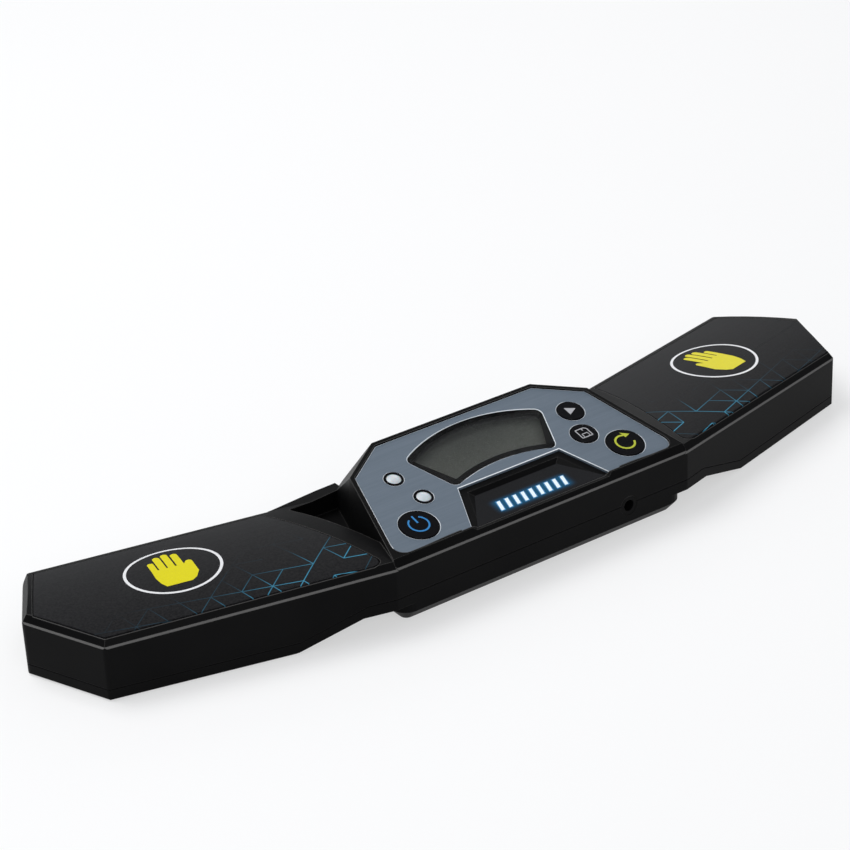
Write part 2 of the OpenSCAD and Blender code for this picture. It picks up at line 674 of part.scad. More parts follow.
// The battery cover with its two tongues, or the channel that it runs in.
module cover_shape(gap, front, rear) {
    tongue_z = underside_z + cover_t / 2;
    through = gap > 0 ? 1 : 0;
    translate([-cover_half_w + tongue_w - gap, front - gap, underside_z - through])
        cube([2 * (cover_half_w - tongue_w + gap), rear - front + gap, cover_t / 2 + through + 0.01]);
    translate([-cover_half_w - gap, front - gap, tongue_z - gap])
        cube([2 * (cover_half_w + gap), rear - front + gap, cover_t / 2 + 2 * gap]);
}
module bay_box(grow, top) {
    translate([-bay_half_len - grow, bay_y - bay_half_w - grow, 0])
        cube([2 * (bay_half_len + grow), 2 * (bay_half_w + grow), top]);
}
module bottom_case() {
    color([0.06, 0.06, 0.065]) difference() {
        union() {
            intersection() {
                difference() {
                    bottom_solid();
                    bottom_cavity();
                    // The shadow line under the seam.
                    difference() {
                        translate([0, 0, underside_z + floor_t]) linear_extrude(BIG)
                            square(BIG, center = true);
                        below_seam(seam_line);
                        linear_extrude(BIG) polygon(rounded(inset(outline, seam_line), outline_r));
                    }
                }
                below_seam(seam_gap);
            }
            intersection() {
                union() {
                    both_sides() for (s = screw_places)
                        cylinder_at([s[0], s[1], underside_z], boss_r, s[2] - underside_z - seam_gap);
                    // Land over the cover's channel.
                    translate([-cover_half_w - land_w, cover_front_y - land_w, underside_z])
                        cube([2 * (cover_half_w + land_w), rear_wall_y - cover_front_y,
                            cover_top + land_t - underside_z]);
                    // Posts under the jack's board.
                    for (p = jack_posts)
                        cylinder_at([p[0], p[1], underside_z], 1.5, jack_board_z - underside_z - 0.02);
                }
                bottom_solid();
            }
            intersection() {
                bay_box(bay_wall, bay_top + bay_wall);
                translate([-BIG / 2, -BIG / 2, underside_z + 1]) cube(BIG);
            }
        }
        bay_box(0, bay_top);
        cover_shape(cover_gap, cover_front_y, rear_wall_y + 5);
        both_sides() for (s = screw_places) {
            cylinder_at([s[0], s[1], -1], screw_head_r + 0.15, head_top(s[2]) + 1);
            cylinder_at([s[0], s[1], -1], screw_r + 0.15, BIG / 8);
        }
        both_sides() for (p = foot_places)
            cylinder_at([p[0], p[1], -1], foot_r + 0.1, underside_z + foot_pocket + 1);
        jack_hole(jack_collar_r + lens_gap);
        // Slots for the battery springs' tails, and the way out for the two leads.
        for (s = [-1, 1]) translate([s * bay_half_len, bay_y, bay_top - 3])
            cube([2 * bay_wall + 1, 3, 3], center = true);
    }
}
module cylinder_at(p, r, h) {
    translate(p) cylinder(r = r, h = h, $fn = ROUND);
}

// ---- console plate, display and badge -------------------------------------------------------
module console_plate() {
    color([0.44, 0.49, 0.54]) difference() {
        plate_slab(plate_outline(0, 0.5), 0, plate_t - 0.02);
        window_slab(-0.1, -5, 5);
        slot_mouth_cut();
        for (i = [0:3]) on_plate(key_places[i], 3)
            cylinder(r = key_radii[i] + button_gap, h = 8, $fn = ROUND);
        for (p = lamp_places) on_plate(p, 3) cylinder(r = lamp_ring_r + lens_gap, h = 8, $fn = ROUND);
    }
}
// The notch that the badge slot cuts out of the plate, with a little of the case left round the slot.
module slot_mouth_cut() {
    edge = [slot_mouth[1] + 8 * unit(slot_mouth[1] - slot_mouth[0]), slot_mouth[0]];
    linear_extrude(BIG / 8) polygon(inset(concat(edge, mirrored(edge)), -border_w * 0.6));
}
module display_window() {
    color([0.5, 0.55, 0.52, 0.45]) window_slab(0.08, 0, window_t);
}
module display_frame() {
    color([0.1, 0.1, 0.1]) difference() {
        window_slab(0.12, window_t + 0.05, lcd_top - 0.05);
        window_slab(frame_w, 0, lcd_top + 2);
    }
}
lcd_outline = [[lcd_w / 2, lcd_front_y], [lcd_w / 2, lcd_rear_y],
    [-lcd_w / 2, lcd_rear_y], [-lcd_w / 2, lcd_front_y]];
module lcd_glass() {
    color([0.42, 0.45, 0.40]) plate_slab(lcd_outline, lcd_top, lcd_low);
}
module lcd_connectors() {
    half = lcd_w / 2 - 4;
    color([0.75, 0.45, 0.5]) for (y = [lcd_front_y + 1, lcd_rear_y - 1]) plate_slab(
        [[-half, y - 0.9], [half, y - 0.9], [half, y + 0.9], [-half, y + 0.9]],
        lcd_low + 0.02, board_depth - 0.02);
}
module badge_panel() {
    color([0.03, 0.03, 0.035]) difference() {
        intersection() {
            slot_space(-0.08, badge_t - 0.02);
            translate([-BIG / 2, badge_front_y, 0]) cube(BIG);
        }
        slot_space(5, 0);
    }
}

// ---- touch pads and their sensors -------------------------------------------------------------
module touch_pad() {
    crown_slab(rounded(pad_outline, [pad_corner_r, 0.5, 0.5, 0.5, 0.5]), 0, pad_t - 0.05);
}
module left_pad() {
    color([0.15, 0.15, 0.16]) mirror([1, 0, 0]) touch_pad();
}
module right_pad() {
    color([0.15, 0.15, 0.16]) touch_pad();
}
ring_at = [100, 3.4];
sensor_half = [30, 13];
module sensor_plate() {
    centre = ring_at - [2, 0];
    points = [for (k = [[1, -1], [1, 1], [-1, 1], [-1, -1]])
        centre + k[0] * sensor_half[0] * along + k[1] * sensor_half[1] * across];
    crown_slab(rounded(points, 2), pad_t + deck_t + 0.05, pad_t + deck_t + 0.45);
}
module left_sensor() {
    color([0.72, 0.45, 0.25]) mirror([1, 0, 0]) sensor_plate();
}
module right_sensor() {
    color([0.72, 0.45, 0.25]) sensor_plate();
}

// ---- buttons ------------------------------------------------------------------------------------
stem_low = board_depth - switch_h - button_travel - 0.05;
module button(p, r) {
    on_plate(p) {
        translate([0, 0, -deck_low - 0.1])
            cylinder(r = r, h = deck_low + 0.1 + button_proud - 0.15, $fn = ROUND);
        translate([0, 0, button_proud - 0.151]) cylinder(r1 = r, r2 = r - 0.15, h = 0.151, $fn = ROUND);
        translate([0, 0, -deck_low - 0.05 - collar_t])
            cylinder(r = r + collar_lip, h = collar_t, $fn = ROUND);
        translate([0, 0, -stem_low]) cylinder(r = 1.6, h = stem_low - deck_low - 0.1, $fn = ROUND);
    }
}
module power_button() {
    color([0.04, 0.05, 0.07]) button([-big_button_at[0], big_button_at[1]], big_button_r);
}
module reset_button() {
    color([0.04, 0.05, 0.04]) button(big_button_at, big_button_r);
}
module mode_button() {
    color([0.05, 0.05, 0.05]) button(mode_button_at, small_button_r);
}
module save_button() {
    color([0.05, 0.05, 0.05]) button(save_button_at, small_button_r);
}

// ---- lamps ----------------------------------------------------------------------------------------
led_h = 1.4;
module lamp_rings() {
    color([0.04, 0.04, 0.045]) for (p = lamp_places) on_plate(p, plate_t) difference() {
        cylinder(r = lamp_ring_r, h = plate_t + 0.2, $fn = ROUND);
        translate([0, 0, -1]) cylinder(r = lamp_r + lens_gap, h = plate_t + 3, $fn = ROUND);
    }
}
module lamp_lenses() {
    pipe_low = board_depth - led_h - 0.1;
    dome_r = 5;
    color([0.92, 0.93, 0.93]) for (p = lamp_places) on_plate(p) {
        intersection() {
            translate([0, 0, -deck_low - 0.1]) cylinder(r = lamp_r, h = deck_low + 2, $fn = ROUND);
            translate([0, 0, 0.4 - dome_r]) sphere(r = dome_r, $fn = ROUND);
        }
        translate([0, 0, -deck_low - 0.85]) cylinder(r = lamp_r + 0.6, h = 0.8, $fn = ROUND);
        translate([0, 0, -pipe_low]) cylinder(r = 1.5, h = pipe_low - deck_low - 0.4, $fn = ROUND);
    }
}
module lamp_leds() {
    color([0.95, 0.9, 0.6]) for (p = lamp_places) on_plate(p, board_depth - 0.01)
        translate([-1.5, -1.25, 0]) cube([3, 2.5, led_h]);
}
module key_switches() {
    color([0.25, 0.25, 0.27]) for (p = key_places) on_plate(p, board_depth - 0.01) {
        translate([-2.25, -2.25, 0]) cube([4.5, 4.5, switch_h - 0.5]);
        cylinder(r = 1.1, h = switch_h - 0.01, $fn = ROUND);
    }
}

// ---- boards and what is on them ---------------------------------------------------------------------
board_screw_r = 0.95;
board_half = [[board_half_w, plate_front_y + 3.2], [board_half_w, -12], [board_half_w - 3, -2],
    [plate_rear_half_w + 1.2, 4.5]];
module main_board() {
    color([0.05, 0.32, 0.16]) difference() {
        plate_slab(concat(board_half, mirrored(board_half)), board_depth, board_depth + board_t);
        both_sides() for (p = board_screw_places) on_plate(p, board_depth + board_t + 1)
            cylinder(r = board_screw_r + 0.2, h = board_t + 2, $fn = ROUND);
    }
}
board_low = board_depth + board_t + 0.01;
module controller_chip() {
    color([0.1, 0.1, 0.1]) on_plate([8, -12], board_low) translate([-7, -5, -1.4]) cube([14, 10, 1.4]);
}
module buzzer() {
    color([0.12, 0.12, 0.12]) on_plate([-18, -9], board_low) translate([0, 0, -3]) difference() {
        cylinder(r = 6, h = 3, $fn = ROUND);
        translate([0, 0, -1]) cylinder(r = 1, h = 2.5, $fn = ROUND);
    }
}
module board_screws() {
    color([0.75, 0.76, 0.78]) both_sides() for (p = board_screw_places) on_plate(p, board_low) {
        translate([0, 0, -1.2]) cylinder(r = 1.8, h = 1.2, $fn = ROUND);
        translate([0, 0, -0.5]) cylinder(r = board_screw_r, h = board_t + 4, $fn = ROUND);
    }
}
jack_board_z = jack_z - jack_collar_r - 0.2 - 1.0;
jack_posts = [[jack_x - 4.2, front_y + wall + jack_len - 2], [jack_x + 4.2, front_y + wall + jack_len - 2],
    [jack_x, front_y + wall + 3]];
jack_body_half = 3.2;
module data_jack() {
    color([0.03, 0.03, 0.03]) difference() {
        union() {
            translate([jack_x, front_y + 0.05, jack_z]) rotate([-90, 0, 0])
                cylinder(r = jack_collar_r, h = wall + 0.5, $fn = ROUND);
            translate([jack_x - jack_body_half, front_y + wall + 0.1, jack_board_z + 1.02])
                cube([2 * jack_body_half, jack_len - wall, 2 * jack_body_half - 0.2]);
        }
        translate([jack_x, front_y - 1, jack_z]) rotate([-90, 0, 0])
            cylinder(r = jack_bore_r, h = jack_len, $fn = ROUND);
    }
}
module jack_board() {
    color([0.05, 0.32, 0.16]) translate([jack_x - 6, front_y + wall + 0.2, jack_board_z])
        cube([12, jack_len + 1, 1]);
}

// ---- leads ------------------------------------------------------------------------------------------
module lead(points, r = 0.6) {
    for (i = [0:len(points) - 2]) {
        v = points[i + 1] - points[i];
        translate(points[i]) rotate([0, acos(v[2] / norm(v)), atan2(v[1], v[0])])
            cylinder(r = r, h = norm(v), $fn = 12);
        if (i > 0) translate(points[i]) sphere(r = 1.1 * r, $fn = 12);
    }
}
lead_under_pocket_z = arch_z + floor_t + 0.95;
lead_y = -4;
// Where a sensor lead goes under the pocket and comes out of it again.
dip_out_x = pad_inner_rear[0] - 2.4;
dip_in_x = board_half_w - 3.5;
function lead_land(p) = lift(p, plate_z_at(p[1]) - board_low * 1.04 - 0.3);
module sensor_lead() {
    start = ring_at - 26 * along;
    lead([lift(start, crown_z(start) - pad_t - deck_t - 1.1), [dip_out_x + 6, lead_y + 1, pocket_floor_z],
        [dip_out_x, lead_y, lead_under_pocket_z], [dip_in_x, lead_y, lead_under_pocket_z],
        [dip_in_x - 2.5, lead_y - 2, pocket_floor_z + 1.5], lead_land([dip_in_x - 3.5, lead_y - 4])]);
}
module left_sensor_lead() {
    color([0.75, 0.1, 0.1]) mirror([1, 0, 0]) sensor_lead();
}
module right_sensor_lead() {
    color([0.75, 0.1, 0.1]) sensor_lead();
}
contact_t = 0.4;
module battery_leads() {
    start_x = bay_half_len + bay_wall + 0.5;
    color([0.2, 0.2, 0.2]) for (s = [-1, 1]) lead([[s * start_x, bay_y, bay_top - 3 + 0.25 + 0.02],
        [s * (start_x + 1.5), bay_y, bay_top + 1.5],
        lead_land([s * (board_screw_places[0][0] - 5), bay_y - 6 * s])], 0.5);
}
module battery_contacts() {
    spring_l = bay_half_len - contact_t - cell_len / 2 - 0.9;
    color([0.8, 0.81, 0.83]) for (s = [-1, 1]) {
        translate([s * (bay_half_len - contact_t / 2 - 0.02), bay_y, cell_z])
            cube([contact_t, 4 * cell_r - 1, 2 * cell_r - 1.5], center = true);
        translate([s * (bay_half_len - contact_t - 0.01), bay_y - s * cell_r, cell_z])
            rotate([0, -90 * s, 0])
            cylinder(r1 = 3, r2 = 2, h = spring_l, $fn = ROUND);
        translate([s * (bay_half_len + bay_wall / 2), bay_y, bay_top - 3])
            cube([bay_wall + 1.2, 2, 0.5], center = true);
    }
}
module cells() {
    color([0.2, 0.35, 0.6]) for (s = [-1, 1]) translate([0, bay_y + s * (cell_r + 0.12), cell_z]) {
        rotate([0, 90, 0]) translate([0, 0, -cell_len / 2])
            cylinder(r = cell_r, h = cell_len - 1, $fn = ROUND);
        rotate([0, 90, 0]) translate([0, 0, -cell_len / 2]) cylinder(r = 1.9, h = cell_len, $fn = ROUND);
    }
}

// ---- underside ----------------------------------------------------------------------------------------
module battery_cover() {
    color([0.06, 0.06, 0.065]) difference() {
        cover_shape(0, cover_front_y, rear_wall_y - 0.02);
        // Thumb grip: a row of grooves near the rear edge.
        for (i = [0:4]) translate([-7, rear_wall_y - 5 - 1.6 * i, underside_z - 1]) cube([14, 0.8, 1.4]);
    }
}
module rubber_feet() {
    color([0.15, 0.15, 0.15]) both_sides() for (p = foot_places)
        cylinder_at([p[0], p[1], 0], foot_r, underside_z + foot_pocket - 0.02);
}
module case_screws() {
    color([0.35, 0.35, 0.37]) both_sides()
        for (s = screw_places) translate([s[0], s[1], head_top(s[2])]) difference() {
        union() {
            translate([0, 0, -1.2 + head_sink])
                cylinder(r = screw_head_r, h = 1.2 - head_sink - 0.01, $fn = ROUND);
            translate([0, 0, -0.5]) cylinder(r = screw_r, h = screw_len, $fn = ROUND);
        }
        for (a = [0, 90]) rotate([0, 0, a]) translate([-1.3, -0.25, -2]) cube([2.6, 0.5, 1.5]);
    }
}

bottom_case();
top_case();
console_plate();
display_window();
display_frame();
lcd_glass();
lcd_connectors();
badge_panel();
left_pad();
right_pad();
left_sensor();
right_sensor();
power_button();
reset_button();
mode_button();
save_button();
lamp_rings();
lamp_lenses();
lamp_leds();
key_switches();
main_board();
controller_chip();
buzzer();
board_screws();
data_jack();
jack_board();
left_sensor_lead();
right_sensor_lead();
battery_leads();
battery_contacts();
cells();
battery_cover();
rubber_feet();
case_screws();
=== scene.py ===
import math

import bmesh
import bpy
from mathutils import Matrix, Vector
from mathutils.bvhtree import BVHTree


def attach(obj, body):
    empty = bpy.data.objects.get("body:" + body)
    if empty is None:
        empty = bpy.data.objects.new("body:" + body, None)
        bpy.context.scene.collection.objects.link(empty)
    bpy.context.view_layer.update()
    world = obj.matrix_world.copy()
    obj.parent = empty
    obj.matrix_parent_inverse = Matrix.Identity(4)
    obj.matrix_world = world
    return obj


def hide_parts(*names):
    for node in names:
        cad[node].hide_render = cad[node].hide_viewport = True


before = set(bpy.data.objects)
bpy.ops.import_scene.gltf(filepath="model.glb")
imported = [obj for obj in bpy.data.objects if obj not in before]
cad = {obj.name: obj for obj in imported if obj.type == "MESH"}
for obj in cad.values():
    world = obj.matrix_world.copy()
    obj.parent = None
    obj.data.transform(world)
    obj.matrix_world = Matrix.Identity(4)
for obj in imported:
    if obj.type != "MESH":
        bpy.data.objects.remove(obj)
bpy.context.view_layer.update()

# ---- The camera ------------------------------------------------------------------------------
# A long lens about 76 cm from the timer, in front of it and to the user's left, looking 27 degrees
# down. The lens is shifted a little, as the timer stands off the middle of the view.
MM = 0.001
EYE_PLACE = Vector((-391.1, -534.0, 370.9)) * MM
eye_right = Vector((0.8018, -0.5961, -0.0407)).normalized()
eye_back = eye_right.cross(Vector((0.3004, 0.3434, 0.8898))).normalized()
eye_up = eye_back.cross(eye_right)
lens = bpy.data.cameras.new("lens")
lens.sensor_width = 36
lens.lens = 107.52
lens.shift_x = -0.01506
lens.shift_y = -0.00294
lens.clip_start = 0.05
lens.clip_end = 30
eye = bpy.data.objects.new("eye", lens)
eye.matrix_world = (Matrix.Translation(EYE_PLACE)
                    @ Matrix((eye_right, eye_up, eye_back)).transposed().to_4x4())
bpy.context.scene.collection.objects.link(eye)
bpy.context.scene.camera = eye
bpy.context.scene.view_settings.view_transform = "Standard"


# ---- The table and the studio ------------------------------------------------------------------
# A plain pale tabletop under three soft lights: one high behind the timer, one low in front and one at
# the rear right. The background is white, and the table is drawn partly white to meet it.
class Wire:
    """A socket of a node tree. Arithmetic on it adds the Math nodes."""

    def __init__(self, tree, socket):
        self.tree = tree
        self.socket = socket

    def add(self, kind, settings=None, values=(), output=0):
        """Adds a node of any kind: its settings first, then the values or links of its sockets."""
        new = self.tree.nodes.new(kind)
        for name, setting in (settings or {}).items():
            setattr(new, name, setting)
        for key, value in (values.items() if isinstance(values, dict) else enumerate(values)):
            if isinstance(value, Wire):
                self.tree.links.new(value.socket, new.inputs[key])
            else:
                new.inputs[key].default_value = value
        return Wire(self.tree, new.outputs[output])

    def maths(self, operation, *values):
        return self.add("ShaderNodeMath", {"operation": operation}, values)

    def __add__(self, other):
        return self.maths("ADD", self, other)

    def __sub__(self, other):
        return self.maths("SUBTRACT", self, other)

    def __rsub__(self, other):
        return self.maths("SUBTRACT", other, self)

    def __mul__(self, other):
        return self.maths("MULTIPLY", self, other)

    def __truediv__(self, other):
        return self.maths("DIVIDE", self, other)

    def __gt__(self, other):
        return self.maths("GREATER_THAN", self, other)

    def __abs__(self):
        return self.maths("ABSOLUTE", self)

    __radd__ = __add__

    def clamp(self):
        return self.add("ShaderNodeClamp", {}, [self])

    def floor(self):
        return self.maths("FLOOR", self)

    def ramp(self, start, stop):
        """0 at start, 1 at stop, smooth between."""
        return self.add("ShaderNodeMapRange", {"interpolation_type": "SMOOTHSTEP"},
                        {"Value": self, "From Min": start, "From Max": stop})

    def axes(self, names="XYZ"):
        return [self.add("ShaderNodeSeparateXYZ", {}, [self], axis) for axis in names]

    def stretched(self, scale):
        """The same coordinates scaled along each axis."""
        return self.add("ShaderNodeMapping", {}, {"Vector": self, "Scale": scale})

    def noise(self, scale, detail=2.0, roughness=0.5):
        return self.add("ShaderNodeTexNoise", {}, {"Vector": self, "Scale": scale, "Detail": detail,
                                                   "Roughness": roughness})

    def tint(self, low, high):
        """A colour between low and high, by this value. Sockets 6, 7 and 2 are the node's colours."""
        ends = {0: self, 6: colour_of(low), 7: colour_of(high)}
        return self.add("ShaderNodeMix", {"data_type": "RGBA"}, ends, 2)

    def bump(self, depth, strength, over=None):
        """A normal roughened by this height, over a softened one where it is given."""
        values = {"Height": self, "Distance": depth, "Strength": strength}
        if over:
            values["Normal"] = over
        return self.add("ShaderNodeBump", {}, values, "Normal")

    def softened(self, radius):
        """The normal with the edges rounded over radius, and how much of an edge there is."""
        soft = self.add("ShaderNodeBevel", {"samples": 8}, {"Radius": radius})
        plain = self.add("ShaderNodeNewGeometry", {}, {}, "True Normal")
        alike = self.add("ShaderNodeVectorMath", {"operation": "DOT_PRODUCT"}, [soft, plain], "Value")
        return soft, alike.ramp(0.999, 0.93)


def colour_of(value):
    return value if isinstance(value, Wire) else (*value, 1)


def finish(name, colour, roughness, constants=None):
    """A material with its constant values on the shader's own sockets."""
    material = bpy.data.materials.new(name)
    material.use_nodes = True
    shader = material.node_tree.nodes["Principled BSDF"]
    shader.inputs["Base Color"].default_value = colour_of(colour)
    shader.inputs["Roughness"].default_value = roughness
    for socket, value in (constants or {}).items():
        shader.inputs[socket].default_value = value
    return material


def places(material):
    """The Object coordinates of a material, in metres."""
    return Wire(material.node_tree, None).add("ShaderNodeTexCoord", {}, {}, "Object")


def feed(material, wires):
    """Links each wire to the shader's socket of that name."""
    shader = material.node_tree.nodes["Principled BSDF"]
    for socket, wire in wires.items():
        material.node_tree.links.new(wire.socket, shader.inputs[socket])


def speckled(name, colour, roughness, scale, low, high, constants=None, detail=2.0):
    """A material whose colour wanders between low and high in specks of one over scale, in metres."""
    material = finish(name, colour, roughness, constants)
    feed(material, {"Base Color": places(material).noise(scale, detail).tint(low, high)})
    return material


def show_white(shaded, share):
    """Lets rays from the camera, mirrors and glass see part of the surface as plain white."""
    seen = shaded.add("ShaderNodeLightPath", {}, {}, "Is Camera Ray")
    seen = seen + shaded.add("ShaderNodeLightPath", {}, {}, "Is Glossy Ray")
    seen = (seen + shaded.add("ShaderNodeLightPath", {}, {}, "Is Transmission Ray")).clamp()
    white = shaded.add("ShaderNodeEmission", {}, {"Color": (1, 1, 1, 1), "Strength": 1.0})
    return shaded.add("ShaderNodeMixShader", {}, [seen * share, shaded, white])


studio = bpy.data.worlds.new("studio")
bpy.context.scene.world = studio
studio.use_nodes = True
sky_tree = studio.node_tree
sky_shader = sky_tree.nodes["Background"]
sky_shader.inputs["Color"].default_value = (0.93, 0.96, 1.0, 1)
sky_shader.inputs["Strength"].default_value = 0.42
sky = Wire(sky_tree, sky_shader.outputs[0])
behind = sky.add("ShaderNodeBackground", {}, {"Color": (1, 1, 1, 1), "Strength": 1.0})
seen = sky.add("ShaderNodeLightPath", {}, {}, "Is Camera Ray")
backdrop = sky.add("ShaderNodeMixShader", {}, [seen, sky, behind])
sky_tree.links.new(backdrop.socket, sky_tree.nodes["World Output"].inputs["Surface"])


def softbox(name, place, size, watts):
    """A rectangular light aimed at the middle of the timer, in metres."""
    light = bpy.data.lights.new(name, "AREA")
    light.shape = "RECTANGLE"
    light.size, light.size_y = size
    light.energy = watts
    lamp = bpy.data.objects.new(name, light)
    place = Vector(place)
    aim = (-place).to_track_quat("-Z", "Y").to_matrix().to_4x4()
    lamp.matrix_world = Matrix.Translation(place) @ aim
    bpy.context.scene.collection.objects.link(lamp)


softbox("high_light", place=(-0.35, 0.5, 1.2), size=(0.9, 0.8), watts=13.0)
softbox("front_light", place=(-0.5, -1.1, 0.75), size=(0.9, 0.5), watts=3.5)
softbox("rear_light", place=(0.9, 0.9, 0.6), size=(0.5, 0.5), watts=1.8)

HALF_TABLE = 4.0
TABLE_WHITENESS = 0.55
table_mesh = bpy.data.meshes.new("tabletop")
table_mesh.from_pydata([(-HALF_TABLE, -HALF_TABLE, 0), (HALF_TABLE, -HALF_TABLE, 0),
                        (HALF_TABLE, HALF_TABLE, 0), (-HALF_TABLE, HALF_TABLE, 0)], [], [(0, 1, 2, 3)])
tabletop = bpy.data.objects.new("tabletop", table_mesh)
bpy.context.scene.collection.objects.link(tabletop)
table_paint = speckled("pale_tabletop", (0.86, 0.86, 0.87), 0.7, 3.0,
                       (0.85, 0.85, 0.86), (0.88, 0.88, 0.885), {"Specular IOR Level": 0.2}, detail=3.0)
table_nodes = table_paint.node_tree.nodes
table_shader = Wire(table_paint.node_tree, table_nodes["Principled BSDF"].outputs[0])
table_paint.node_tree.links.new(show_white(table_shader, TABLE_WHITENESS).socket,
                                table_nodes["Material Output"].inputs["Surface"])
tabletop.data.materials.append(table_paint)


def satin_black(name, grain):
    """Black moulded plastic with a fine grit. Its edges are rounded in the shading, as the mould rounds
    them, and its upper outer edges carry a painted highlight in the base colour.
    """
    material = finish(name, (0.002, 0.002, 0.0022), 0.4, {"Specular IOR Level": 0.05})
    spot = places(material)
    grit = spot.noise(grain, 3.0, 0.6)
    cloud = spot.noise(45.0, 3.0)
    soft, edge = spot.softened(0.35 * MM)
    # Painted highlight: the base colour is lighter on the shoulders of upward edges, less on the crests and
    # faintly on every edge. The shoulder and crest highlight stays off the edges at the seam and below it;
    # the cloud adds a little random tone.
    up = soft.axes("Z")[0]
    shoulder = up.ramp(0.14, 0.28) * up.ramp(0.48, 0.34)
    crest = edge * up.ramp(0.5, 0.7) * 0.45
    above_seam = spot.axes("Z")[0].ramp(0.0115, 0.0125)
    tone_and_painted_highlight = ((shoulder + crest) * above_seam + cloud * 0.03 + edge * 0.03).clamp()
    feed(material, {"Base Color": tone_and_painted_highlight.tint((0.0014, 0.0014, 0.0016), (0.13, 0.127, 0.124)),
                    "Roughness": 0.34 + grit * 0.12 + cloud * 0.06,
                    "Normal": grit.bump(0.00004, 0.35, soft)})
    return material


def dress(names, material):
    """Gives CAD nodes a better material."""
    for name in names:
        mesh = cad[name].data
        mesh.materials.clear()
        mesh.materials.append(material)


dress(["top_case", "bottom_case", "battery_cover"], satin_black("satin_black_shell", 2600.0))

# ---- The console plate -------------------------------------------------------------------------
# Thin blue-grey sheet, brushed from side to side and glued into the console's recess. Its cut edge
# is a little brighter than its face.
SOFT_EDGE = 0.2 * MM
WELD_GAP = 2e-6
OFF_SURFACE = 2e-5
CLEAR_REACH = 0.02
OUTER_CORNER = math.radians(24)
SMOOTH_BELOW = math.radians(20)
UPWARD = 0.5


def rounded_copy(node, body, name, width, materials, cut_edge=-1, flat=0.02):
    """A copy of a CAD node whose upper outer edges are rounded over width.

    Edges that other faces of the piece cover stay sharp. Faces within flat degrees of each other are
    joined first, and cut_edge is the slot of the material on the rounding, -1 for the one beside it.
    """
    mesh = cad[node].data.copy()
    shape = bmesh.new()
    shape.from_mesh(mesh)
    bmesh.ops.remove_doubles(shape, verts=shape.verts, dist=WELD_GAP)
    if flat:
        bmesh.ops.dissolve_limit(shape, angle_limit=math.radians(flat), verts=shape.verts, edges=shape.edges)
    shape.normal_update()
    tree = BVHTree.FromBMesh(shape)
    weight = shape.edges.layers.float.new("bevel_weight_edge")
    for edge in shape.edges:
        if edge.is_manifold and edge.calc_face_angle_signed(0) > OUTER_CORNER:
            out = (edge.link_faces[0].normal + edge.link_faces[1].normal).normalized()
            middle = (edge.verts[0].co + edge.verts[1].co) / 2
            open_air = tree.ray_cast(middle + out * OFF_SURFACE, out, CLEAR_REACH)[0] is None
            edge[weight] = 1.0 if open_air and out.z > UPWARD else 0.0
    for face in shape.faces:
        face.smooth = True
        face.material_index = 0
    shape.to_mesh(mesh)
    shape.free()
    mesh.set_sharp_from_angle(angle=SMOOTH_BELOW)
    mesh.materials.clear()
    for material in materials:
        mesh.materials.append(material)
    piece = bpy.data.objects.new(name, mesh)
    bpy.context.scene.collection.objects.link(piece)
    bevel = piece.modifiers.new("rounding", "BEVEL")
    bevel.limit_method = "WEIGHT"
    bevel.width = width
    bevel.segments = 3
    bevel.use_clamp_overlap = False
    bevel.harden_normals = True
    bevel.material = cut_edge
    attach(piece, body)
    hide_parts(node)


brushed = finish("brushed_blue_grey", (0.2, 0.23, 0.26), 0.42, {"Metallic": 0.3})
spot = places(brushed)
streaks = spot.stretched((60, 7000, 7000)).noise(1.0, 4.0, 0.7)
wide_streaks = spot.stretched((14, 900, 900)).noise(1.0, 3.0, 0.6)
brushing = streaks * 0.6 + wide_streaks * 0.4
feed(brushed, {"Base Color": brushing.tint((0.07, 0.098, 0.132), (0.17, 0.212, 0.262)),
               "Roughness": 0.34 + streaks * 0.2,
               "Normal": streaks.bump(0.00003, 0.5)})
cut_rim = finish("bright_cut_rim", (0.8, 0.85, 0.9), 0.35)
wear = places(cut_rim).noise(900.0, 2.0)
feed(cut_rim, {"Base Color": wear.tint((0.74, 0.79, 0.84), (0.86, 0.9, 0.94)),
               "Roughness": 0.24 + wear * 0.14})
rounded_copy("console_plate", "case", "face_plate", SOFT_EDGE, [brushed, cut_rim], cut_edge=1, flat=0)

# ---- The display -------------------------------------------------------------------------------
# A clear moulded window with a black printed border sits over a dark frame and a blank reflective
# display glass, which rests on two rubber connectors. Sizes of the window are in mm, seen from above.
WINDOW_TOP_Y = 4.2
WINDOW_LOW_Y = -14.6
WINDOW_HALF_TOP = 24.9
WINDOW_HALF_LOW = 18.3
WINDOW_ARC_R = 50.5
WINDOW_CORNER_R = 2.2
WINDOW_CORNER_SPAN = 3.3
WINDOW_ARC_STEPS = 14
BORDER_OUTER_IN = 0.12
BORDER_INNER_IN = 1.75
PRINT_LIFT = 0.03
PRINT_THICKNESS = 0.02


